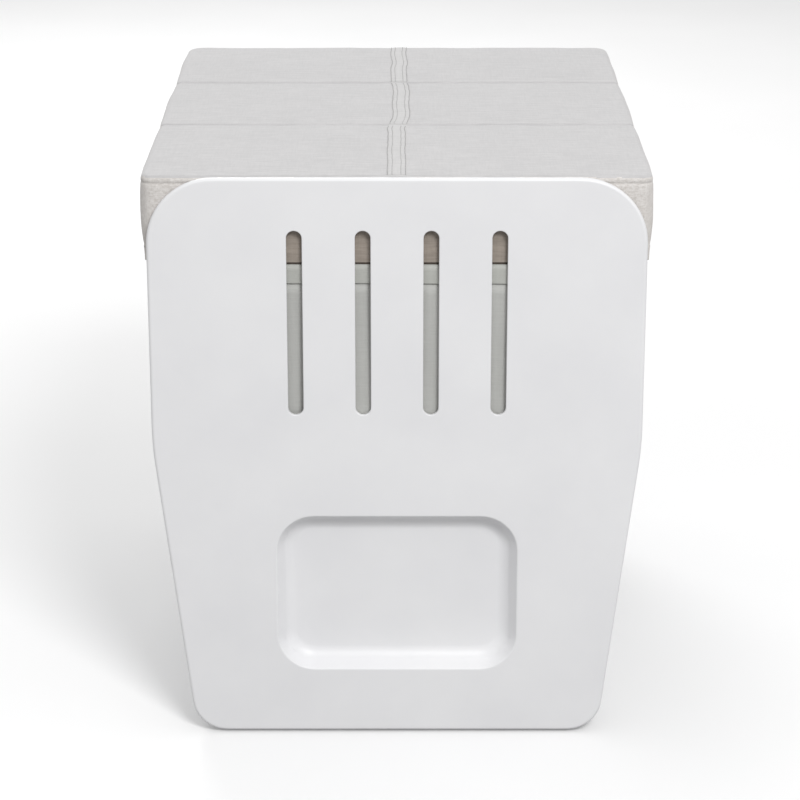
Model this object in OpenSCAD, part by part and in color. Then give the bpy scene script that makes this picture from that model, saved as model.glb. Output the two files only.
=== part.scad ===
// Hooded cat litter box: a moulded white tub with a flat rear plate, vent slots
// and a blind hand grip, a loose tarpaulin liner, and a fabric lid made of three
// boarded panels that fold back one on another.
// +Z is up. The rear plate faces -Y and the entry faces +Y. The origin is at
// the middle of the footprint, on the floor. All sizes are in millimetres.

/* [Overall size] */
// Width over the straight upper side walls of the tub
tub_w = 400; // [400:1:400]
// Depth from the rear face of the plate to the front face of the lid's skirt
overall_d = 533; // [510:23:533]
// Height of the rear plate from its bottom edge to its top edge
plate_h = 479; // [470:9:479]
// Width of the tub at its base, before the bottom corners are rounded
base_w = 338; // [338:12:350]

/* [Tub] */
// Height above the base at which the side walls turn from tapered to upright
kink_h = 254; // [240:1:270]
// Radius that blends the tapered wall into the upright wall
kink_r = 300; // [150:10:400]
// Radius of the bottom corners and bottom edges
base_r = 29; // [24:1:34]
// Radius of the two top corners of the rear plate
plate_top_r = 54; // [40:1:60]
// Thickness of the rear plate
plate_t = 4; // [3.5:0.5:5]
// Thickness of the other walls and of the floor
wall_t = 3; // [2.5:0.5:3.5]
// Radius of the upright front corners, seen from above
front_r = 24; // [24:2:26]
// Height of the anti-slip pads that the tub stands on
foot_h = 2; // [1.5:0.5:3]
// Diameter of each anti-slip pad
foot_dia = 26; // [18:1:32]

/* [Vent slots] */
// Width of each vertical slot
slot_w = 12.4; // [10:0.2:14]
// Length of each slot over its round ends
slot_l = 154.5; // [130:0.5:160]
// Distance between the centre lines of neighbouring slots
slot_pitch = 54.8; // [48:0.2:60]
// Height of the slots' lower ends above the bottom edge of the plate
slot_low = 281.6; // [275:0.2:284]

/* [Hand grip recess] */
// Width of the recess at the face of the plate
grip_w = 199; // [180:1:210]
// Height of the recess at the face of the plate
grip_h = 137; // [120:1:140]
// Corner radius of the recess at the face of the plate
grip_r = 31; // [26:1:36]
// Height of the recess's lower edge above the bottom edge of the plate
grip_low = 56.5; // [50:0.5:62]
// Depth of the recess
grip_depth = 15; // [12:0.5:16]
// Run-in of the sloping side walls of the recess over their depth
grip_slope = 9; // [7:0.5:10]

/* [Entry] */
// Width of the entry in the front wall
entry_w = 250; // [220:5:270]
// Height of the entry's threshold above the floor
entry_low = 190; // [185:1:200]
// Radius of the lower corners of the entry
entry_r = 45; // [30:1:60]

/* [Liner] */
// Thickness of the tarpaulin liner
liner_t = 1.2; // [1:0.1:1.4]
// Height of the liner's upper edge at the rear
liner_top = 409; // [400:1:410]
// Height of the liner's upper edge at the front
liner_front = 178; // [160:1:182]
// Height of the folded hem along the liner's upper edge
hem_h = 16; // [12:1:20]

/* [Lid] */
// Y position of the crease between the rear and the middle panel
crease_rear = -76; // [-84:1:-70]
// Y position of the crease between the middle and the front panel
crease_front = 99; // [94:1:104]
// Thickness of the stiffening board in each panel
board_t = 5; // [4:0.5:5]
// Thickness of the outer fabric, padding included, on top of a panel
cover_t = 1.5; // [1.2:0.1:1.6]
// Thickness of the hanging skirts
skirt_t = 2.2; // [1.8:0.1:2.4]
// Length of the skirts below the outer fabric of the top
skirt_h = 69; // [60:1:74]
// Radius of the two front corners of the lid, seen from above
lid_front_r = 12; // [8:1:16]
// Width of the lapped centre seam
seam_w = 15; // [12:1:20]

/* [Hidden] */
$fn = 96;
hull_fn = 40;
rear_y = -overall_d / 2;
skirt_gap = 0.8;
tub_front = overall_d / 2 - skirt_t - skirt_gap;
taper = (tub_w - base_w) / 2;
rim_z = foot_h + plate_h - 7;
plate_in = rear_y + plate_t;
grip_mid_z = foot_h + grip_low + grip_h / 2;
slot_mid_z = foot_h + slot_low + slot_l / 2;
rear_skirt_y = plate_in + 2;
notch_y = rear_skirt_y + skirt_t + 2.3;
notch_z = foot_h + plate_h - 76;
lining_t = 1;
lining_z = rim_z + 0.3;
board_z = lining_z + lining_t;
cover_z = board_z + board_t;
lid_top = cover_z + cover_t;
seam_t = 0.5;
fold_z = lid_top + seam_t + 0.2;
lid_half = tub_w / 2 + skirt_gap + skirt_t;
crease_gap = 0.6;
skirt_low = cover_z - skirt_h;
strip_t = 0.8;
strip_w = 320;
strip_h = 20;
strip_z = foot_h + plate_h - 34;
liner_gap = 0.4;
liner_off = 5;
snap_x = 137;

// ---- helpers for outlines whose corners are rounded ----
function unit(v) = v / norm(v);
function xy(p) = [p[0], p[1]];
function arm(v, i, step) = unit(xy(v[(i + step + len(v)) % len(v)]) - xy(v[i]));
function half_angle(v, i) = acos(arm(v, i, -1) * arm(v, i, 1)) / 2;
function centre(v, i) =
  xy(v[i]) + unit(arm(v, i, -1) + arm(v, i, 1)) * v[i][2] / sin(half_angle(v, i));
function bearing(c, p) = atan2(p[1] - c[1], p[0] - c[0]);
function arc(c, r, a, b, n) =
  let (turn = (b - a + 540) % 360 - 180)
  [for (k = [0:n]) c + r * [cos(a + turn * k / n), sin(a + turn * k / n)]];
function corner(v, i, n) = v[i][2] == 0 ? [xy(v[i])] :
  let (c = centre(v, i), reach = v[i][2] / tan(half_angle(v, i)))
  arc(c, v[i][2], bearing(c, xy(v[i]) + arm(v, i, -1) * reach),
    bearing(c, xy(v[i]) + arm(v, i, 1) * reach), n);

// A convex outline; each corner is [x, y, radius]. Radii over 100 are blends.
module rounded_outline(v) {
  polygon([for (i = [0:len(v) - 1]) each corner(v, i, v[i][2] > 100 ? 8 : 1)]);
  for (i = [0:len(v) - 1])
    if (v[i][2] > 0 && v[i][2] <= 100) translate(centre(v, i)) circle(r = v[i][2]);
}

// A rounded rectangle w by h, centred.
module rounded_rect(w, h, r) {
  square([w - 2 * r, h], center = true);
  square([w, h - 2 * r], center = true);
  for (x = [-1, 1], y = [-1, 1])
    translate([x * (w / 2 - r), y * (h / 2 - r)]) circle(r = r);
}

// Turns a drawing in X and Z into a slab from y to y + t.
module upright(y, t) {
  translate([0, y + t, 0]) rotate([90, 0, 0]) linear_extrude(t) children();
}

// ---- tub ----
// Half width lost to the taper at height z above the base, kink blended.
blend_l = kink_r * tan(atan2(taper, kink_h) / 2);
function lost(z) =
  let (slope = taper / kink_h, a = atan2(taper, kink_h),
    low = kink_h - blend_l * cos(a), high = kink_h + blend_l)
  z >= high ? 0 : z <= low ? (kink_h - z) * slope :
    kink_r - sqrt(kink_r * kink_r - (high - z) * (high - z));
slice = 0.5;
levels = [for (k = [-3:3]) kink_h + blend_l * k / 3];

module plate_outline() {
  translate([0, foot_h]) rounded_outline([
    [-base_w / 2, 0, base_r], [base_w / 2, 0, base_r],
    [tub_w / 2, kink_h, kink_r], [tub_w / 2, plate_h, plate_top_r],
    [-tub_w / 2, plate_h, plate_top_r], [-tub_w / 2, kink_h, kink_r]]);
}

// The tub's full body, every face moved in by inset. Its rear face is at y_rear
// at its top, z_top, and lean moves it forward for each millimetre below that.
// round_rear rounds the rear edges too.
module body(inset, y_rear, z_top, round_rear, lean = 0) {
  r = base_r - inset;
  x_low = base_w / 2 - base_r;
  hull() {
    for (x = [-x_low, x_low]) {
      translate([x, tub_front - taper - base_r, foot_h + base_r])
        sphere(r = r, $fn = hull_fn);
      if (round_rear)
        translate([x, y_rear + r + lean * (z_top - foot_h - base_r),
          foot_h + base_r]) sphere(r = r, $fn = hull_fn);
      else translate([x, y_rear, foot_h + base_r])
        rotate([-90, 0, 0]) cylinder(r = r, h = 1, $fn = hull_fn);
    }
    for (z = concat(levels, [z_top - foot_h - slice / 2]), x = [-1, 1])
      translate([0, 0, foot_h + z - slice / 2]) {
        cut = lost(z) + inset;
        translate([x * (tub_w / 2 - cut - front_r + inset),
          tub_front - lost(z) - front_r])
          cylinder(r = front_r - inset, h = slice, $fn = hull_fn);
        if (round_rear)
          translate([x * (tub_w / 2 - cut - 8),
            y_rear + 8 + lean * (z_top - foot_h - z)])
            cylinder(r = 8, h = slice, $fn = hull_fn);
        else translate([x * (tub_w / 2 - cut - 0.5) - 0.5, y_rear])
          cube([1, 1, slice]);
      }
  }
}

// The grip recess, its walls moved outward by grow, between two Y positions:
// a cone in each corner and two wedge-sided blocks between them.
module grip_block(grow, y_low, y_high) {
  function cut(y) = grip_slope * (y - rear_y) / grip_depth - grow;
  function wedge(half) = [[y_low, half - cut(y_low)], [y_high, half - cut(y_high)],
    [y_high, cut(y_high) - half], [y_low, cut(y_low) - half]];
  side_x = grip_w / 2 - grip_r;
  side_z = grip_h / 2 - grip_r;
  translate([0, 0, grip_mid_z]) {
    for (x = [-side_x, side_x], z = [-side_z, side_z])
      translate([x, y_low, z]) rotate([-90, 0, 0])
        cylinder(r1 = grip_r - cut(y_low), r2 = grip_r - cut(y_high),
          h = y_high - y_low);
    translate([-side_x, 0, 0]) rotate([90, 0, 90])
      linear_extrude(2 * side_x) polygon(wedge(grip_h / 2));
    translate([0, 0, -side_z]) linear_extrude(2 * side_z)
      polygon([for (p = wedge(grip_w / 2)) [p[1], p[0]]]);
  }
}

module vent_slots() {
  for (i = [-1.5:1:1.5]) translate([i * slot_pitch, 0, slot_mid_z])
    upright(rear_y - 1, plate_t + 2) rounded_rect(slot_w, slot_l, slot_w / 2 - 0.01);
}

// The entry is a U that is open at the rim, with eased upper ends.
module entry_cut() {
  h = rim_z - entry_low + 20;
  ease = 14;
  upright(tub_front - 60, 80) {
    translate([0, entry_low]) rounded_outline([
      [-entry_w / 2, 0, entry_r], [entry_w / 2, 0, entry_r],
      [entry_w / 2, h, 0], [-entry_w / 2, h, 0]]);
    for (x = [-1, 1]) scale([x, 1])
      translate([entry_w / 2 - 0.01, rim_z - ease]) difference() {
        square([ease, ease + 5]);
        translate([ease, 0]) circle(r = ease);
      }
  }
}

module tub() color([0.93, 0.93, 0.94]) difference() {
  union() {
    difference() {
      upright(rear_y, plate_t) plate_outline();
      vent_slots();
    }
    difference() {
      body(0, plate_in, rim_z, false);
      body(wall_t, plate_in, rim_z + 20, true);
      translate([-tub_w, rear_y - 5, notch_z])
        cube([2 * tub_w, notch_y - rear_y + 5, 200]);
    }
    grip_block(wall_t + 1.5, plate_in - 1, rear_y + grip_depth + wall_t);
  }
  grip_block(0, rear_y - 1, rear_y + grip_depth);
  entry_cut();
}

module feet() color([0.55, 0.56, 0.57])
  for (x = [-1, 1], y = [rear_y + 45, tub_front - taper - 45])
    translate([x * (base_w / 2 - 48), y, 0]) cylinder(d = foot_dia, h = foot_h);

// ---- liner ----
// The liner stands off the rear plate at its top and leans forward below that,
// clear of the back of the grip recess.
liner_out = wall_t + liner_gap;
liner_rear = plate_in + liner_off;
grip_top_z = grip_mid_z + grip_h / 2 + 6;
liner_lean = (grip_depth + wall_t + 0.8 - plate_t - liner_off)
  / (liner_top + 20 - grip_top_z);

// The liner's upper edge along the depth, as points in Y and Z.
liner_edge = [[-overall_d, liner_top], [-150, liner_top], [20, liner_front + 90],
  [150, liner_front + 8], [200, liner_front], [overall_d, liner_front]];

module liner_form(inset) {
  body(liner_out + inset, liner_rear + inset, liner_top + 20, true, liner_lean);
}

// A slab over the full width, drawn in Y and Z.
module across(points) {
  translate([-tub_w, 0, 0]) rotate([90, 0, 90]) linear_extrude(2 * tub_w)
    polygon(points);
}

function lowered(drop) = [for (p = liner_edge) p - [0, drop]];
function backward(v) = [for (i = [len(v) - 1:-1:0]) v[i]];

module liner() color([0.62, 0.64, 0.62]) intersection() {
  difference() {
    liner_form(0);
    liner_form(liner_t);
  }
  across(concat(lowered(hem_h), [[overall_d, -10], [-overall_d, -10]]));
}

module liner_hem() color([0.74, 0.76, 0.73]) intersection() {
  difference() {
    liner_form(-0.3);
    liner_form(liner_t + 0.5);
  }
  across(concat(lowered(0), backward(lowered(hem_h))));
}

// Places a snap fastener at the points where the rear of the hem is held. Its
// axis points into the tub from the inner face of the rear plate.
module at_snaps() {
  for (x = [-1:1]) translate([x * snap_x, plate_in, liner_top - hem_h / 2])
    rotate([-90, 0, 0]) children();
}

// How far the leaning hem has come off the plate at the snaps' centres.
snap_off = liner_off + liner_lean * (20 + hem_h / 2);

module liner_snap_sockets() color([0.86, 0.86, 0.86])
  at_snaps() cylinder(d = 11, h = snap_off - 0.6);

module liner_snap_studs() color([0.8, 0.8, 0.8])
  at_snaps() translate([0, 0, snap_off + liner_t + 0.8]) cylinder(d = 12, h = 1.6);

// ---- lid ----
module lid_outline(inset) {
  rounded_outline([[-lid_half + inset, rear_skirt_y + inset, 6 - inset],
    [lid_half - inset, rear_skirt_y + inset, 6 - inset],
    [lid_half - inset, overall_d / 2 - inset, lid_front_r - inset],
    [-lid_half + inset, overall_d / 2 - inset, lid_front_r - inset]]);
}

// The lid's outline between ya and yb, as a slab from z to z + t.
module lid_slab(inset, ya, yb, z, t) {
  translate([0, 0, z]) linear_extrude(t) intersection() {
    lid_outline(inset);
    translate([-lid_half - 1, ya]) square([2 * lid_half + 2, yb - ya]);
  }
}

// The hanging band of fabric along the lid's outline between ya and yb.
module skirt_band(ya, yb) {
  difference() {
    lid_slab(0, ya, yb, skirt_low, cover_z - skirt_low);
    lid_slab(skirt_t, ya - 1, yb + 1, skirt_low - 1, cover_z - skirt_low + 2);
  }
}

module centre_seam(ya, yb) {
  translate([-seam_w / 2, ya, lid_top]) cube([seam_w, yb - ya, seam_t]);
}

fabric = [0.83, 0.82, 0.81];
board = [0.72, 0.66, 0.55];
lining = [0.66, 0.63, 0.58];
skirt_turn = 12;
lid_end = overall_d / 2;
r_edge = crease_rear - crease_gap;
m_rear = crease_rear + crease_gap;
m_front = crease_front - crease_gap;
f_edge = crease_front + crease_gap;

module rear_board() color(board)
  lid_slab(3.2, rear_skirt_y, r_edge - 3, board_z, board_t);
module rear_cover() color(fabric)
  lid_slab(0, rear_skirt_y, r_edge, cover_z, cover_t);
module rear_lining() color(lining)
  lid_slab(2.6, rear_skirt_y, r_edge - 1, lining_z, lining_t);
module rear_side_skirts() color(fabric)
  skirt_band(rear_skirt_y + skirt_turn, r_edge);
module rear_skirt() color(fabric)
  skirt_band(rear_skirt_y, rear_skirt_y + skirt_turn);
module loop_strip() color([0.6, 0.6, 0.6])
  translate([-strip_w / 2, rear_skirt_y - 0.9, strip_z]) cube([strip_w, 0.9, strip_h]);
module hook_strip() color([0.5, 0.5, 0.5])
  translate([-strip_w / 2, plate_in, strip_z]) cube([strip_w, strip_t, strip_h]);
module rear_centre_seam() color(fabric * 0.95)
  centre_seam(rear_skirt_y, r_edge);

module middle_board() color(board)
  lid_slab(3.2, m_rear + 3, m_front - 3, board_z, board_t);
module middle_cover() color(fabric) lid_slab(0, m_rear, m_front, cover_z, cover_t);
module middle_lining() color(lining)
  lid_slab(2.6, m_rear + 1, m_front - 1, lining_z, lining_t);
module middle_side_skirts() color(fabric) skirt_band(m_rear, m_front);
module middle_centre_seam() color(fabric * 0.95) centre_seam(m_rear, m_front);

module front_board() color(board)
  lid_slab(3.2, f_edge + 3, lid_end, board_z, board_t);
module front_cover() color(fabric) lid_slab(0, f_edge, lid_end, cover_z, cover_t);
module front_lining() color(lining)
  lid_slab(2.6, f_edge + 1, lid_end, lining_z, lining_t);
module front_side_skirts() color(fabric)
  skirt_band(f_edge, lid_end - lid_front_r);
module front_skirt() color(fabric)
  skirt_band(lid_end - lid_front_r, lid_end);
module front_centre_seam() color(fabric * 0.95)
  centre_seam(f_edge, lid_end);

tub();
feet();
liner();
liner_hem();
liner_snap_sockets();
liner_snap_studs();
hook_strip();
rear_board();
rear_cover();
rear_lining();
rear_side_skirts();
rear_skirt();
loop_strip();
rear_centre_seam();
middle_board();
middle_cover();
middle_lining();
middle_side_skirts();
middle_centre_seam();
front_board();
front_cover();
front_lining();
front_side_skirts();
front_skirt();
front_centre_seam();
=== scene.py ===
"""Looks for a hooded cat litter box: a white moulded tub, a tarpaulin liner and
a folding fabric lid in three boarded panels. Lengths are in metres."""
import math

import bmesh
import bpy
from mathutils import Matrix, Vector, noise


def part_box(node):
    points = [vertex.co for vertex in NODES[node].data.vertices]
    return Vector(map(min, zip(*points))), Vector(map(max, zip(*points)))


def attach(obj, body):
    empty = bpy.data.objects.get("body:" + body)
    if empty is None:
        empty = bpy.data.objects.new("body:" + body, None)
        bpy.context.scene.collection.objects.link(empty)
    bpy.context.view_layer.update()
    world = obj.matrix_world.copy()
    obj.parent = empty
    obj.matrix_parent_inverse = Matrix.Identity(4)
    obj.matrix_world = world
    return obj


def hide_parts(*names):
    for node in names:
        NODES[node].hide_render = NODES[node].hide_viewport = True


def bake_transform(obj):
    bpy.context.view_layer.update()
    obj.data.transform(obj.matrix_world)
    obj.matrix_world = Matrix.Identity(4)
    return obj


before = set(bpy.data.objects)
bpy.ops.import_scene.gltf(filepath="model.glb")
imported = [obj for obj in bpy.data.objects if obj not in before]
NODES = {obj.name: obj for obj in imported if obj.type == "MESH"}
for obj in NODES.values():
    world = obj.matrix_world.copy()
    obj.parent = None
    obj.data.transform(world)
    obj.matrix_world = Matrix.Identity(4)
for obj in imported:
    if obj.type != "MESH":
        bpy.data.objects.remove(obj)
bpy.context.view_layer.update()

MM = 0.001
PANELS = ("rear", "middle", "front")


# ---------------------------------------------------------------- materials
class Shader:
    """A principled material whose inputs are fed by small node chains."""

    def __init__(self, name, roughness=0.5, **values):
        self.material = bpy.data.materials.new(name)
        self.material.use_nodes = True
        self.nodes = self.material.node_tree.nodes
        self.links = self.material.node_tree.links
        self.main = self.nodes["Principled BSDF"]
        self.main.inputs["Roughness"].default_value = roughness
        for key, value in values.items():
            self.main.inputs[key.replace("_", " ")].default_value = value
        self.place = self.nodes.new("ShaderNodeTexCoord")

    def mapped(self, scale):
        """Object coordinates, in metres, times a scale on each axis."""
        node = self.nodes.new("ShaderNodeMapping")
        node.inputs["Scale"].default_value = scale
        self.links.new(self.place.outputs["Object"], node.inputs["Vector"])
        return node.outputs["Vector"]

    def noise(self, scale, detail=2.0, roughness=0.5):
        """Noise from 0 to 1; scale is cycles per metre on each axis."""
        node = self.nodes.new("ShaderNodeTexNoise")
        node.inputs["Scale"].default_value = 1.0
        node.inputs["Detail"].default_value = detail
        node.inputs["Roughness"].default_value = roughness
        if not hasattr(scale, "__len__"):
            scale = (scale, scale, scale)
        self.links.new(self.mapped(scale), node.inputs["Vector"])
        return node.outputs["Fac"]

    def math(self, kind, a, b=None, c=None):
        """A math node on numbers, or on other nodes' outputs."""
        node = self.nodes.new("ShaderNodeMath")
        node.operation = kind
        for slot, value in zip(node.inputs, (a, b, c)):
            if value is None:
                continue
            if isinstance(value, (int, float)):
                slot.default_value = value
            else:
                self.links.new(value, slot)
        return node.outputs[0]

    def between(self, low, high, factor, start=0.0, stop=1.0):
        """A colour that runs from low to high as factor goes from start to stop."""
        ramp = self.nodes.new("ShaderNodeValToRGB")
        ramp.color_ramp.elements[0].position = start
        ramp.color_ramp.elements[1].position = stop
        ramp.color_ramp.elements[0].color = (*low, 1)
        ramp.color_ramp.elements[1].color = (*high, 1)
        self.links.new(factor, ramp.inputs["Fac"])
        return ramp.outputs["Color"]

    def spread(self, low, high, factor):
        """A number that runs from low to high as factor goes from 0 to 1."""
        return self.math("MULTIPLY_ADD", factor, high - low, low)

    def feed(self, name, value):
        """Links a node's output to one of the material's inputs."""
        self.links.new(value, self.main.inputs[name])

    def bump(self, height, distance):
        """Shades the surface as if height, from 0 to 1, rose by distance metres."""
        node = self.nodes.new("ShaderNodeBump")
        node.inputs["Strength"].default_value = 1.0
        node.inputs["Distance"].default_value = distance
        self.links.new(height, node.inputs["Height"])
        self.links.new(node.outputs["Normal"], self.main.inputs["Normal"])

    def facing(self):
        """How much the surface faces X, Y and Z, each from 0 to 1."""
        split = self.nodes.new("ShaderNodeSeparateXYZ")
        self.links.new(self.place.outputs["Normal"], split.inputs[0])
        return [self.math("ABSOLUTE", split.outputs[i]) for i in range(3)]

    def threads(self, fine, along, detail=3.0):
        """Cross-woven threads: streaks along each axis, kept off the faces that
        they would only speckle. fine and along are cycles per metre."""
        total = None
        for axis, face in enumerate(self.facing()):
            scale = [fine, fine, fine]
            scale[axis] = along
            streak = self.noise(scale, detail, 0.6)
            keep = self.math("MULTIPLY", self.math("SUBTRACT", 1.0, face),
                (1.35, 0.65, 0.65)[axis])
            streak = self.math("MULTIPLY", self.math("SUBTRACT", streak, 0.5), keep)
            total = streak if total is None else self.math("ADD", total, streak)
        return self.math("ADD", total, 0.5)


def plastic(name, low, high, roughness, grain=0.00002):
    """Moulded satin plastic: a faint cloudiness and a fine moulded grain."""
    s = Shader(name)
    s.feed("Base Color", s.between(low, high, s.noise(14, 3), 0.3, 0.7))
    s.feed("Roughness", s.spread(roughness - 0.05, roughness + 0.06, s.noise(60, 4)))
    s.bump(s.noise(1400, 2), grain)
    return s.material


def linen(name, low, high, fine=760, along=60, depth=0.00018):
    """Linen-look cloth: uneven cross-woven threads and a broad mottling."""
    s = Shader(name, Sheen_Weight=0.25, Sheen_Roughness=0.5)
    weave = s.threads(fine, along)
    slubs = s.threads(fine * 0.45, along * 0.4, 2.0)
    both = s.math("MULTIPLY_ADD", slubs, 0.28, s.math("MULTIPLY", weave, 0.72))
    mottle = s.math("MULTIPLY", s.noise(22, 4), 0.18)
    tone = s.math("SUBTRACT", s.math("ADD", both, mottle), 0.09)
    s.feed("Base Color", s.between(low, high, tone, 0.34, 0.66))
    s.feed("Roughness", s.spread(0.78, 0.95, both))
    s.bump(both, depth)
    return s.material


def tarpaulin(name, low, high):
    """Coated woven tarpaulin: a fine square weave under a dull coating."""
    s = Shader(name)
    weave = s.threads(900, 60)
    streak = s.noise((120, 120, 5), 3)
    tone = s.math("MULTIPLY_ADD", streak, 0.6, s.math("MULTIPLY", weave, 0.4))
    s.feed("Base Color", s.between(low, high, tone, 0.36, 0.64))
    s.feed("Roughness", s.spread(0.5, 0.68, weave))
    s.bump(weave, 0.00012)
    return s.material


WHITE = plastic("tub_white_plastic", (0.80, 0.80, 0.815), (0.84, 0.84, 0.85), 0.40)
SNAP = plastic("snap_plastic", (0.74, 0.75, 0.76), (0.80, 0.80, 0.81), 0.34)
PAD = plastic("pad_rubber", (0.23, 0.235, 0.24), (0.29, 0.295, 0.30), 0.78, 0.00006)
LID = linen("lid_linen", (0.49, 0.484, 0.486), (0.565, 0.556, 0.558))
# Painted shade: the lid's cloth, made darker for the crease strips to stand for the
# shade in the folds between panels.
CREASE_SHADED = linen("crease_painted_shade", (0.43, 0.425, 0.425), (0.50, 0.492, 0.49))
SKIRT = linen("skirt_linen", (0.575, 0.545, 0.515), (0.735, 0.708, 0.685),
    700, 300, 0.0003)
# Painted shade: the rear skirt's middle, seen through the slots, is made darker to
# stand for the shade behind the plate.
SHADE_BEHIND_PLATE = linen("skirt_painted_shade", (0.29, 0.25, 0.213), (0.35, 0.303, 0.26))
SEAM = linen("seam_linen", (0.515, 0.51, 0.508), (0.585, 0.577, 0.575), 700, 60)
LINING = linen("lining_cloth", (0.42, 0.385, 0.34), (0.52, 0.48, 0.43), 900, 60)
THREAD = linen("stitch_thread", (0.33, 0.325, 0.32), (0.41, 0.405, 0.40), 2400, 300)
# Painted shadow: a near-black line along the rear skirt's lower edge behind the
# slots, for the shadow gap between skirt and hem.
SHADOW_LINE = linen("skirt_painted_shadow_line", (0.035, 0.027, 0.021), (0.07, 0.055, 0.044), 900, 900)
HOOK = linen("hook_tape", (0.38, 0.38, 0.38), (0.55, 0.55, 0.55), 1500, 900, 0.0005)
LOOP = linen("loop_tape", (0.46, 0.45, 0.44), (0.60, 0.59, 0.58), 1300, 700, 0.0005)
BOARD = linen("lid_board", (0.42, 0.33, 0.23), (0.52, 0.42, 0.30), 260, 12, 0.0001)
TARP = tarpaulin("liner_tarpaulin", (0.455, 0.457, 0.437), (0.505, 0.507, 0.487))
HEM = tarpaulin("hem_tarpaulin", (0.43, 0.434, 0.405), (0.475, 0.48, 0.45))


# ------------------------------------------------------------- mesh helpers
SHARP_ANGLE = math.radians(50)


def piece(name, bm, material, body, stands_for=()):
    """Makes a piece of a mesh and fixes it to a body of the frame."""
    bmesh.ops.recalc_face_normals(bm, faces=bm.faces)
    mesh = bpy.data.meshes.new(name)
    bm.to_mesh(mesh)
    bm.free()
    obj = bpy.data.objects.new(name, mesh)
    bpy.context.scene.collection.objects.link(obj)
    mesh.materials.append(material)
    for face in mesh.polygons:
        face.use_smooth = True
    mesh.set_sharp_from_angle(angle=SHARP_ANGLE)
    if body:
        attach(obj, body)
    if stands_for:
        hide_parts(*stands_for)
    return obj


def face_up(obj):
    """Turns an open sheet's faces over if its topmost one looks down."""
    top = max(obj.data.polygons, key=lambda face: face.center.z)
    if top.normal.z < 0:
        obj.data.flip_normals()


def soft_noise(point, size, seed=0.0):
    """Smooth noise from about -1 to 1 that changes over size metres."""
    return noise.noise(Vector(point) / size + Vector((seed, 3.7 * seed, -seed)))


def ease(t):
    """0 below 0, 1 above 1, smooth in between."""
    t = min(max(t, 0.0), 1.0)
    return t * t * (3 - 2 * t)


def cad_mesh(node):
    """A welded copy of a CAD node's mesh, in the row frame."""
    source = NODES[node]
    bm = bmesh.new()
    bm.from_mesh(source.data)
    bm.transform(source.matrix_world)
    bmesh.ops.remove_doubles(bm, verts=bm.verts, dist=0.01 * MM)
    return bm


def slice_up(bm, step, axes=(0, 1, 2)):
    """Cuts a mesh along planes a step apart on each of the axes."""
    for axis in axes:
        values = [v.co[axis] for v in bm.verts]
        low, high = min(values), max(values)
        count = int((high - low) / step)
        for k in range(1, count):
            at = [0.0, 0.0, 0.0]
            way = [0.0, 0.0, 0.0]
            at[axis] = low + (high - low) * k / count
            way[axis] = 1.0
            geom = bm.verts[:] + bm.edges[:] + bm.faces[:]
            bmesh.ops.bisect_plane(
                bm, geom=geom, dist=1e-6, plane_co=at, plane_no=way)


def round_edges(bm, edges, size, segments):
    """Rounds a mesh's edges, with the faces beside them cut back by size."""
    bmesh.ops.bevel(bm, geom=edges, offset=size, offset_type="OFFSET",
        segments=segments, profile=0.5, affect="EDGES", clamp_overlap=False,
        loop_slide=True)


# ----------------------------------------------------------------- the tub
REAR_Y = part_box("tub")[0][1]
PLATE_T = 4 * MM


def build_tub():
    """The moulded tub, its edges rounded: wide on the plate's outline and round
    the grip recess's floor, narrow at its mouth, the slots and the rims."""
    bm = cad_mesh("tub")
    bmesh.ops.dissolve_limit(bm, angle_limit=math.radians(0.4),
        verts=bm.verts, edges=bm.edges)

    def sharp():
        return [e for e in bm.edges if len(e.link_faces) == 2
            and e.calc_face_angle(0) > math.radians(24)]

    def middle(edge):
        return (edge.verts[0].co + edge.verts[1].co) / 2

    def in_grip(p):
        return abs(p.x) < 0.115 and 0.045 < p.z < 0.21 and p.y < REAR_Y + 0.0155

    def in_slots(p):
        return abs(p.x) < 0.095 and 0.27 < p.z < 0.45 and p.y < REAR_Y + 2 * PLATE_T

    def flush(p):
        """Where the walls meet the plate, and in the notch behind it."""
        near = p.y < REAR_Y + PLATE_T + 0.6 * MM
        return near or (p.y < REAR_Y + 12 * MM and p.z > 0.395)

    grip_mouth, grip, slots, outline, rest = [], [], [], [], []
    for edge in sharp():
        p = middle(edge)
        if in_grip(p) and p.y < REAR_Y + 0.5 * PLATE_T:
            grip_mouth.append(edge)
        elif in_grip(p):
            grip.append(edge)
        elif in_slots(p):
            slots.append(edge)
        elif p.y < REAR_Y + 0.5 * PLATE_T:
            outline.append(edge)
        elif not flush(p):
            rest.append(edge)
    for edges, size, segments in ((grip_mouth, 0.9 * MM, 3), (grip, 6.5 * MM, 6),
            (slots, 0.8 * MM, 2), (outline, 2.6 * MM, 5), (rest, 1.1 * MM, 3)):
        edges = [e for e in edges if e.is_valid]
        if edges:
            round_edges(bm, edges, size, segments)
    tub = piece("tub_shell", bm, WHITE, "shell", ("tub",))
    tub.modifiers.new("even_shading", "WEIGHTED_NORMAL").keep_sharp = True
    return tub


# --------------------------------------------------------- the fabric panels
LID_LOW, LID_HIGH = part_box("rear_cover")
LID_TOP = LID_HIGH.z
LID_HALF = LID_HIGH.x
SKIRT_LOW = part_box("rear_skirt")[0].z
CREASES = [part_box(n + "_cover")[1].y for n in ("rear", "middle")]
LINING_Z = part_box("rear_lining")[0].z
EDGE_R = 4 * MM
HEM_H = 11 * MM
SEAM_HALF = 8.4 * MM
INNER_ROW, OUTER_ROW = 0.42, 0.86  # stitch rows, in shares of the seam's half width
STEP = 4 * MM  # between the points of the cloth
BEHIND_PLATE_HALF = 0.15  # half width of the rear skirt's part behind the plate, which stands in, hangs lower and is painted in shade
SHADOW_LINE_HALF = 0.12  # half width of the near-black painted shadow line along its lower edge
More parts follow.
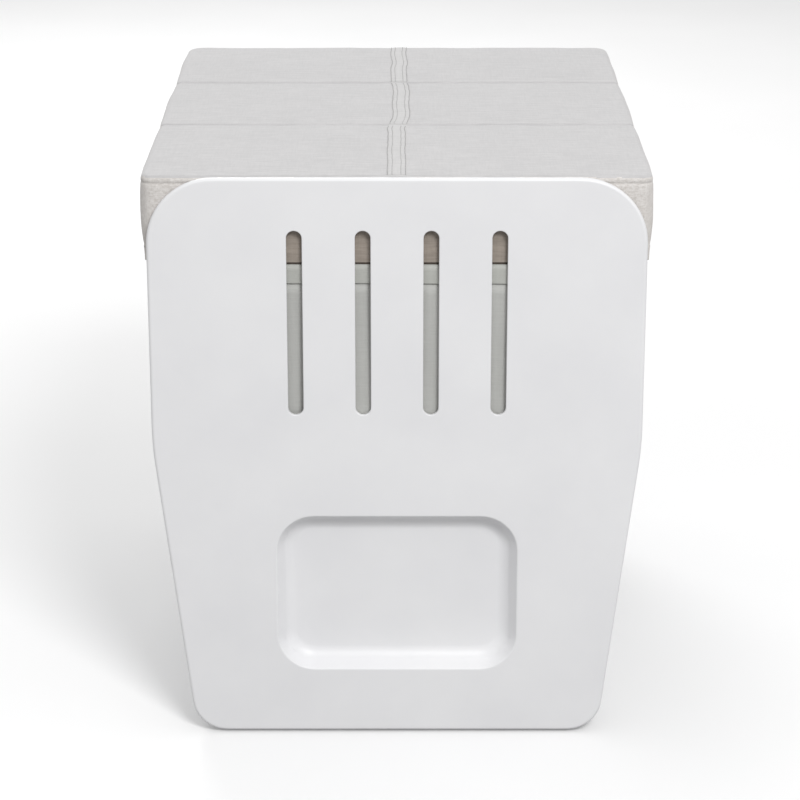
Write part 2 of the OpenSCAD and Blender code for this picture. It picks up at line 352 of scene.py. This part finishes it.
# the painted shade on that part starts this far below the lid's top
SHADE_BELOW = 12 * MM
SKIRT_DROP = 2.6 * MM  # how much lower the part behind the plate hangs
ON_SKIRT, ON_PAINTED_SHADE, ON_PAINTED_SHADOW = 1, 2, 3  # the cloth's materials after the lid's own: the skirt, the painted shade behind the plate, and the painted shadow line under it


def seam_line(y):
    """The centre seam's X: it wanders, and bends at each crease."""
    bend = 3.8 * ease((y + 0.10) / 0.06) - 2.0 * ease((y - 0.07) / 0.06)
    wobble = 1.5 * soft_noise((0, y, 0), 0.045, 2.0)
    wobble += 0.6 * soft_noise((0, y, 0), 0.016, 5.0)
    return MM * (bend + wobble - 0.5)


def behind_plate(x):
    """1 over the rear skirt's part behind the plate, 0 at its sides."""
    return ease((BEHIND_PLATE_HALF - abs(x)) / 0.03)


class Panel:
    """One lid panel: its outline, and how its cloth lies."""

    def __init__(self, name, seed):
        low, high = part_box(name + "_cover")
        self.name, self.seed = name, seed
        self.y0, self.y1 = low.y, high.y
        self.body = "lid_" + name
        self.radius = {
            "rear": (9 * MM, 4.3 * MM), "middle": (4.3 * MM, 4.3 * MM),
            "front": (4.3 * MM, 13 * MM)}[name]

    def outline(self):
        """Points round the panel, seen from above: (x, y, outward normal)."""
        path = []
        corners = ((-1, -1, 0), (1, -1, 0), (1, 1, 1), (-1, 1, 1))
        for index, (sx, sy, end) in enumerate(corners):
            r = self.radius[end]
            x = sx * (LID_HALF - r)
            y = (self.y0 + r) if sy < 0 else (self.y1 - r)
            start = math.radians(180 + 90 * index)
            for k in range(7):
                a = start + math.radians(90) * k / 6
                n = Vector((math.cos(a), math.sin(a), 0))
                path.append((x + r * n.x, y + r * n.y, n))
            nx, ny, nend = corners[(index + 1) % 4]
            r2 = self.radius[nend]
            here = Vector((path[-1][0], path[-1][1], 0))
            goal = here.copy()
            if ny == sy:
                goal.x = nx * (LID_HALF - r2)
            else:
                goal.y = (self.y0 + r2) if ny < 0 else (self.y1 - r2)
            count = max(1, round((goal - here).length / STEP))
            for k in range(1, count):
                p = here.lerp(goal, k / count)
                path.append((p.x, p.y, path[-1][2].copy()))
        return path

    def is_crease(self, normal):
        """Whether a side that faces this way turns under into a crease."""
        if self.name != "rear" and normal.y < -0.5:
            return True
        return self.name != "front" and normal.y > 0.5

    def top_lift(self, x, y):
        """How far the top cloth lies above the plain panel."""
        in_y = min(y - self.y0, self.y1 - y)
        in_x = LID_HALF - abs(x)
        crown = 1.3 * MM * ease(in_y / 0.06) * ease(in_x / 0.05)
        broad = 0.55 * MM * soft_noise((x, y, 0), 0.075, self.seed)
        small = 0.22 * MM * soft_noise((x, y * 1.6, 0), 0.022, self.seed + 5)
        near_seam = math.exp(-((abs(x - seam_line(y)) - 11 * MM) / (8 * MM)) ** 2)
        pucker = 0.5 * MM * near_seam * soft_noise((0.15 * x, y, 0), 0.012, self.seed)
        near_crease = math.exp(-in_y / (9 * MM))
        gather = 0.5 * MM * near_crease * soft_noise((x, 0, 0), 0.02, self.seed + 9)
        fade = ease(min(in_x, in_y) / (8 * MM))
        lift = (crown + broad + small + pucker) * fade + gather * ease(in_x / 0.02)
        room_when_folded = 0.45 * MM + 0.035 * in_y
        return min(lift, room_when_folded)

    def edge_swell(self, y, normal):
        """How far the sides of the stuffed panel bulge between its ends."""
        along = min(max((y - self.y0) / (self.y1 - self.y0), 0), 1)
        belly = math.sin(math.pi * along) ** 0.6
        wave = soft_noise((normal.x, y, 0), 0.05, self.seed + 21)
        return abs(normal.x) * MM * (belly * (1.5 + 1.1 * wave) + 0.2)

    def side_push(self, x, y, z, normal):
        """How far a skirt stands out from its plain position."""
        down = (LID_TOP - z) / (LID_TOP - SKIRT_LOW)
        if self.is_crease(normal):
            return 0.0
        if self.name == "rear" and normal.y < -0.3:
            wave = 0.5 + 0.5 * soft_noise((x, 0, z * 0.5), 0.05, self.seed)
            inward = 0.7 * wave + 0.6 * behind_plate(x)
            return -inward * MM * ease(down * 3)
        along = (y - self.y0) / (self.y1 - self.y0)
        belly = math.sin(math.pi * min(max(along, 0), 1)) ** 0.7
        swell = 2.0 * MM * belly * ease(down * 4) * (1.1 - 0.5 * down)
        wave = 0.5 + 0.5 * soft_noise((x, y, z * 0.6), 0.045, self.seed + 2)
        small = 0.3 * MM * soft_noise((x, y, z), 0.014, self.seed + 3)
        return swell + 1.3 * MM * wave * ease(down * 1.6) + small * ease(down * 3)

    def skirt_point(self, x, y, z, n):
        """A point of the outline moved to height z on the hanging cloth."""
        depth = LID_TOP - z
        tuck = abs(n.x) * ease(depth / (LID_TOP - SKIRT_LOW) * 2 - 1)
        push = self.side_push(x, y, z, n) + self.edge_swell(y, n)
        push = push * (1 - 0.9 * tuck) - 1.2 * MM * tuck
        seam = math.exp(-((depth - 6.5 * MM) / (0.9 * MM)) ** 2)
        push -= 0.7 * MM * seam * (not self.is_crease(n))
        above_low = z - SKIRT_LOW
        if above_low < HEM_H:
            push += 0.35 * MM
        elif above_low < HEM_H + 2 * MM:
            push -= 0.15 * MM
        if self.name == "rear" and n.y < -0.3:
            low_end = ease((SKIRT_LOW + 12 * MM - z) / (9 * MM))
            z -= SKIRT_DROP * behind_plate(x) * low_end
        return Vector((x + n.x * push, y + n.y * push, z))

    def rows(self):
        """Heights of the rows of points down the skirt."""
        depths = [5.2, 6.0, 6.6, 7.4, 8.6]
        depths += [8.6 + 4.1 * k for k in range(1, 12)]
        low = (LID_TOP - SKIRT_LOW) / MM
        depths += [low - 11.8, low - 10.9, low - 8, low - 4, low - 2, low - 0.4, low]
        return [LID_TOP - d * MM for d in depths]

    def cover(self):
        """The panel's cloth: a soft top, rounded edges, and skirts that hang
        from its outer sides and turn under at its creases."""
        bm = bmesh.new()
        path = self.outline()
        rings = []
        for k in range(7):
            a = math.radians(15 * k)
            ring = []
            for x, y, n in path:
                swell = self.edge_swell(y, n)
                inset = EDGE_R - (EDGE_R + swell) * math.sin(a)
                z = LID_TOP - EDGE_R * (1 - math.cos(a))
                ring.append(bm.verts.new((x - n.x * inset, y - n.y * inset, z)))
            rings.append(ring)
        for z in self.rows():
            rings.append([bm.verts.new(self.skirt_point(x, y, z, n))
                for x, y, n in path])
        count = len(path)
        for k in range(len(rings) - 1):
            for i in range(count):
                j = (i + 1) % count
                n = (path[i][2] + path[j][2]) / 2
                if k >= 6 and self.is_crease(n) and rings[k + 1][i].co.z < LINING_Z:
                    continue
                bm.faces.new((rings[k][i], rings[k][j],
                    rings[k + 1][j], rings[k + 1][i]))
        bm.faces.new(rings[0])
        bmesh.ops.delete(bm, geom=[v for v in bm.verts if not v.link_faces],
            context="VERTS")
        self.cut_top(bm)
        for v in bm.verts:
            if v.co.z > LID_TOP - EDGE_R * 0.6:
                v.co.z += self.top_lift(v.co.x, v.co.y)
            v.co.y += crease_wander(v.co.x, v.co.y)
        obj = piece(self.name + "_cloth", bm, LID, self.body)
        face_up(obj)
        for material in (SKIRT, SHADE_BEHIND_PLATE, SHADOW_LINE):
            obj.data.materials.append(material)
        for face in obj.data.polygons:
            middle, depth = face.center, LID_TOP - face.center.z
            if depth > 1.6 * MM and not self.is_crease(face.normal):
                face.material_index = ON_SKIRT
            if self.name == "rear" and middle.y < self.y0 + 9 * MM:
                # Behind the plate the rear skirt gets the painted shade.
                if depth > SHADE_BELOW and abs(middle.x) < BEHIND_PLATE_HALF:
                    face.material_index = ON_PAINTED_SHADE
                # Its lowest edge turns near-black: a painted shadow line where it
                # hangs over the hem.
                if middle.z < SKIRT_LOW - 0.5 * MM and abs(middle.x) < SHADOW_LINE_HALF:
                    face.material_index = ON_PAINTED_SHADOW
        thick = obj.modifiers.new("cloth_thickness", "SOLIDIFY")
        thick.thickness, thick.offset = 1.1 * MM, -1
        return obj

    def cut_top(self, bm):
        """Cuts the one flat top face into a grid."""
        for axis, low, high in ((0, -LID_HALF, LID_HALF), (1, self.y0, self.y1)):
            count = round((high - low) / STEP)
            for k in range(1, count):
                at = low + (high - low) * k / count
                faces = [f for f in bm.faces
                    if min(v.co.z for v in f.verts) > LID_TOP - 1e-7]
                faces = [f for f in faces
                    if min(v.co[axis] for v in f.verts) < at - 1e-6
                    and max(v.co[axis] for v in f.verts) > at + 1e-6]
                geom = set(faces)
                for f in faces:
                    geom.update(f.verts)
                    geom.update(f.edges)
                co, no = [0, 0, 0], [0, 0, 0]
                co[axis], no[axis] = at, 1
                bmesh.ops.bisect_plane(bm, geom=list(geom), dist=1e-6,
                    plane_co=co, plane_no=no)

    def top_z(self, x, y):
        """Height of the finished top cloth, edge rounding included."""
        into = min(y - self.y0, self.y1 - y)
        drop = 0.0
        if into < EDGE_R:
            drop = EDGE_R - math.sqrt(max(EDGE_R ** 2 - (EDGE_R - into) ** 2, 0))
        lift = self.top_lift(x, y) if drop < EDGE_R * 0.6 else 0.0
        return LID_TOP - drop + lift

    def centre_seam(self):
        """The lapped centre seam: a band a little proud of the top cloth."""
        bm = bmesh.new()
        high = 0.75 * MM
        across = [0, 0.2, 0.32, INNER_ROW, 0.62, OUTER_ROW, 0.96, 1]
        across = [-a for a in across[:0:-1]] + across
        lines = []
        count = round((self.y1 - self.y0) / (2.2 * MM))
        for k in range(count + 1):
            y = self.y0 + (self.y1 - self.y0) * k / count
            x0 = seam_line(y)
            line = []
            for a in across:
                wide = SEAM_HALF * (1 + 0.09 * soft_noise((a, y, 0), 0.03, self.seed))
                rise = high * (1 - abs(a) ** 8) - 0.1 * MM
                rise -= 0.28 * MM * math.exp(-((abs(a) - OUTER_ROW) / 0.08) ** 2)
                rise -= 0.22 * MM * math.exp(-((abs(a) - INNER_ROW) / 0.1) ** 2)
                x = x0 + a * wide
                line.append(bm.verts.new((x, y, self.top_z(x, y) + rise)))
            lines.append(line)
        for a, b in zip(lines, lines[1:]):
            for i in range(len(across) - 1):
                bm.faces.new((a[i], a[i + 1], b[i + 1], b[i]))
        obj = piece(self.name + "_seam_band", bm, SEAM, self.body,
            (self.name + "_centre_seam",))
        face_up(obj)
        thick = obj.modifiers.new("cloth_thickness", "SOLIDIFY")
        thick.thickness, thick.offset = 0.5 * MM, -1
        return obj

    def stitches(self):
        """Rows of stitches on the centre seam and along the skirts' hems."""
        bm = bmesh.new()
        pitch = 4.4 * MM
        for row in (-OUTER_ROW, -INNER_ROW, INNER_ROW, OUTER_ROW):
            y = self.y0 + 4 * MM
            while y < self.y1 - 4 * MM:
                x = seam_line(y) + row * SEAM_HALF
                z = self.top_z(x, y) + 0.5 * MM
                stitch(bm, Vector((x, y, z)), Vector((0, 1, 0)), Vector((0, 0, 1)))
                y += pitch
        z = SKIRT_LOW + HEM_H
        run = 0.0
        path = self.outline()
        for (x, y, n), (x2, y2, n2) in zip(path, path[1:] + path[:1]):
            if self.is_crease((n + n2) / 2):
                continue
            way = Vector((x2 - x, y2 - y, 0))
            if way.length < 1.5 * MM:
                continue
            if self.name == "rear" and n.y < -0.5:
                continue
            p = self.skirt_point((x + x2) / 2, (y + y2) / 2, z, n)
            stitch(bm, p + n * 0.1 * MM, way.normalized(), n)
        return piece(self.name + "_stitches", bm, THREAD, self.body)


def crease_wander(x, y):
    """How far the cloth at a crease strays along Y, fading away from it."""
    if abs(y) > 0.2:
        return 0.0
    nearest = min(CREASES, key=lambda c: abs(c - y))
    fade = math.exp(-abs(y - nearest) / (12 * MM))
    return 0.8 * MM * fade * soft_noise((x, nearest, 0), 0.06, 4.0)


def stitch(bm, at, along, up):
    """One stitch: a short thread that dips in at both ends."""
    side = along.cross(up)
    rings = []
    for t, wide, rise in ((-1, 0.35, -0.3), (-0.6, 0.9, 0.25), (0, 1, 0.4),
            (0.6, 0.9, 0.25), (1, 0.35, -0.3)):
        centre = at + along * (t * 1.45 * MM) + up * (rise * 0.4 * MM)
        ring = []
        for k in range(6):
            a = math.radians(60 * k)
            ring.append(bm.verts.new(centre + side * (math.cos(a) * 0.34 * MM * wide)
                + up * (math.sin(a) * 0.24 * MM * wide)))
        rings.append(ring)
    for a, b in zip(rings, rings[1:]):
        for k in range(6):
            bm.faces.new((a[k], a[(k + 1) % 6], b[(k + 1) % 6], b[k]))
    bm.faces.new(list(reversed(rings[0])))
    bm.faces.new(rings[-1])


def crease_strip(name, back, front):
    """The cloth that runs on through a crease, folded down between two panels."""
    bm = bmesh.new()
    y_mid = (back.y1 + front.y0) / 2
    spans = [-7, -5.5, -4, -3, -2.2, -1.5, -0.8, 0, 0.8, 1.5, 2.2, 3, 4, 5.5, 7]
    lines = []
    for k in range(101):
        x = (LID_HALF - 1.5 * MM) * (2 * k / 100 - 1)
        sink = 0.4 * MM * soft_noise((x, 0, 0), 0.03, back.seed)
        stray = crease_wander(x, back.y1)
        lines.append([bm.verts.new((x, y_mid + s * MM + stray,
            LID_TOP - 2.4 * MM - 1.2 * MM * math.exp(-(s / 2.0) ** 2) + sink))
            for s in spans])
    for a, b in zip(lines, lines[1:]):
        for i in range(len(spans) - 1):
            bm.faces.new((a[i], b[i], b[i + 1], a[i + 1]))
    # The strip wears the darker crease linen: painted shade in the fold.
    obj = piece(name, bm, CREASE_SHADED, None)
    face_up(obj)
    thick = obj.modifiers.new("cloth_thickness", "SOLIDIFY")
    thick.thickness, thick.offset = 0.8 * MM, -1
    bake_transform(obj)
    return obj


def soften(node, name, material, body, step, axes=(0, 1), lift=0.0):
    """A CAD sheet as cloth: cut finely and moved by soft noise."""
    bm = cad_mesh(node)
    slice_up(bm, step, axes)
    seed = 0.37 * len(node)
    for v in bm.verts:
        v.co.z += lift * soft_noise((v.co.x, v.co.y, 0), 0.04, seed)
    return piece(name, bm, material, body, (node,))


# ------------------------------------------------------------------ liner
PLATE_INSIDE = REAR_Y + PLATE_T
REAR_WALL_Y = REAR_Y + 0.035  # the liner's rear wall lies nearer the plate than this
LINER_LEAN = 0.0431  # the plain wall's lean, forward per height
LEAN_FROM = 0.429
LINER_HALF_X, LINER_HALF_Y = 0.195, 0.25
LINER_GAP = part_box("liner_hem")[0].y - PLATE_INSIDE
HEM_PROUD = 0.7 * MM


def hang_back(p):
    """How far the liner's rear wall hangs back, toward the plate and its slots,
    from the leaning wall of the plain part."""
    if p.y > REAR_WALL_Y:
        return 0.0
    upright = LINER_LEAN * (LEAN_FROM - p.z) * ease((p.z - 0.205) / 0.05)
    slack = ease((p.z - 0.24) / 0.04) * ease((0.122 - abs(p.x)) / 0.03)
    return upright + slack * max(LINER_GAP - 2.0 * MM, 0)


def build_liner():
    """The loose liner and its hem, with shallow folds that lean inward."""
    pieces = []
    for node, name, material, slot in (
            ("liner", "liner_sheet", TARP, "liner_tarp"),
            ("liner_hem", "liner_hem_band", HEM, "hem_tarp")):
        bm = cad_mesh(node)
        slice_up(bm, 9 * MM if node == "liner" else 5 * MM)
        bm.normal_update()
        moves = {}
        for v in bm.verts:
            p = v.co
            inward = Vector((-p.x, -p.y, 0))
            if abs(p.x) / LINER_HALF_X > abs(p.y) / LINER_HALF_Y:
                inward.y = 0
            else:
                inward.x = 0
            if inward.length < 1e-6:
                continue
            fold = soft_noise((p.x * 1.2, p.y * 1.2, p.z * 0.35), 0.05, 2.0)
            fold = max(0.0, 0.35 + fold)
            floor = ease((p.z - 0.03) / 0.05)
            moves[v] = inward.normalized() * (2.6 * MM * fold * floor)
            moves[v].y -= hang_back(p)
            if node == "liner_hem" and p.y < REAR_WALL_Y:
                moves[v].y -= HEM_PROUD
        for v, move in moves.items():
            v.co += move
        pieces.append(piece(name, bm, material, "shell", (node,)))
    return pieces


# ------------------------------------------------------------ build it all
tub = build_tub()
panels = {n: Panel(n, 1.3 + 2.1 * i) for i, n in enumerate(PANELS)}
for n, panel in panels.items():
    cloth = panel.cover()
    stands = [n + "_cover", n + "_side_skirts"]
    if n + "_skirt" in NODES:
        stands.append(n + "_skirt")
    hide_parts(*stands)
    band = panel.centre_seam()
    thread = panel.stitches()
    under = soften(n + "_lining", n + "_lining_cloth", LINING, panel.body,
        12 * MM, lift=0.15 * MM)
for name, back, front in (("rear_crease", "rear", "middle"),
        ("front_crease", "middle", "front")):
    strip = crease_strip(name, panels[back], panels[front])

liner, hem = build_liner()
for node, material, body, slot in (("hook_strip", HOOK, "shell", "hook_tape"),
        ("loop_strip", LOOP, "lid_rear", "loop_tape")):
    tape = soften(node, node + "_tape", material, body, 8 * MM, (0, 2))

for node, material in (("feet", PAD), ("liner_snap_sockets", SNAP),
        ("liner_snap_studs", SNAP), ("rear_board", BOARD),
        ("middle_board", BOARD), ("front_board", BOARD)):
    obj = NODES[node]
    for index in range(len(obj.material_slots)):
        obj.material_slots[index].material = material
    rounding = obj.modifiers.new("soft_edges", "BEVEL")
    rounding.width, rounding.segments = 0.4 * MM, 2
    rounding.limit_method, rounding.angle_limit = "ANGLE", math.radians(40)


# ------------------------------------------------------ floor, light, camera
SKY_BELOW, SKY_ABOVE = 0.31, 0.68


def build_stage():
    """A plain pale floor and a soft sky that is brighter above."""
    bm = bmesh.new()
    bmesh.ops.create_grid(bm, x_segments=1, y_segments=1, size=6)
    mesh = bpy.data.meshes.new("floor")
    bm.to_mesh(mesh)
    bm.free()
    floor = bpy.data.objects.new("floor", mesh)
    bpy.context.scene.collection.objects.link(floor)
    s = Shader("floor_paper", roughness=0.9)
    s.feed("Base Color", s.between((0.94, 0.94, 0.94), (0.96, 0.96, 0.96),
        s.noise(3, 2), 0.3, 0.7))
    mesh.materials.append(s.material)
    floor.visible_diffuse = False
    world = bpy.data.worlds.new("studio")
    bpy.context.scene.world = world
    world.use_nodes = True
    nodes, links = world.node_tree.nodes, world.node_tree.links
    place = nodes.new("ShaderNodeTexCoord")
    split = nodes.new("ShaderNodeSeparateXYZ")
    ramp = nodes.new("ShaderNodeMapRange")
    ramp.inputs["From Min"].default_value = -0.5
    ramp.inputs["From Max"].default_value = 0.5
    ramp.inputs["To Min"].default_value = SKY_BELOW
    ramp.inputs["To Max"].default_value = SKY_ABOVE
    links.new(place.outputs["Generated"], split.inputs[0])
    links.new(split.outputs["Z"], ramp.inputs["Value"])
    links.new(ramp.outputs["Result"], nodes["Background"].inputs["Strength"])
    nodes["Background"].inputs["Color"].default_value = (1, 1, 1, 1)


def area_light(name, at, aim, size, watts):
    """A round lamp at one place, turned toward another."""
    data = bpy.data.lights.new(name, "AREA")
    data.shape, data.size, data.energy = "DISK", size, watts
    lamp = bpy.data.objects.new(name, data)
    bpy.context.scene.collection.objects.link(lamp)
    lamp.location = at
    way = Vector(aim) - Vector(at)
    lamp.rotation_mode = "QUATERNION"
    lamp.rotation_quaternion = way.to_track_quat("-Z", "Y")


def build_camera():
    """A long lens behind the box and a little above it, which looks down."""
    data = bpy.data.cameras.new("camera")
    cam = bpy.data.objects.new("camera", data)
    bpy.context.scene.collection.objects.link(cam)
    data.sensor_width, data.lens = 36.0, 120.5
    cam.location = (0.0024, -2.326, 0.9878)
    cam.rotation_euler = (math.radians(90 - 18.55), 0, 0)
    data.clip_start, data.clip_end = 0.01, 50
    bpy.context.scene.camera = cam


bpy.context.scene.view_settings.view_transform = "Standard"
build_stage()
area_light("key", (0.85, -2.6, 2.3), (0, 0, 0.25), 1.0, 57)
area_light("fill_front", (-0.6, 2.6, 2.2), (0, 0, 0.25), 1.6, 31)
build_camera()
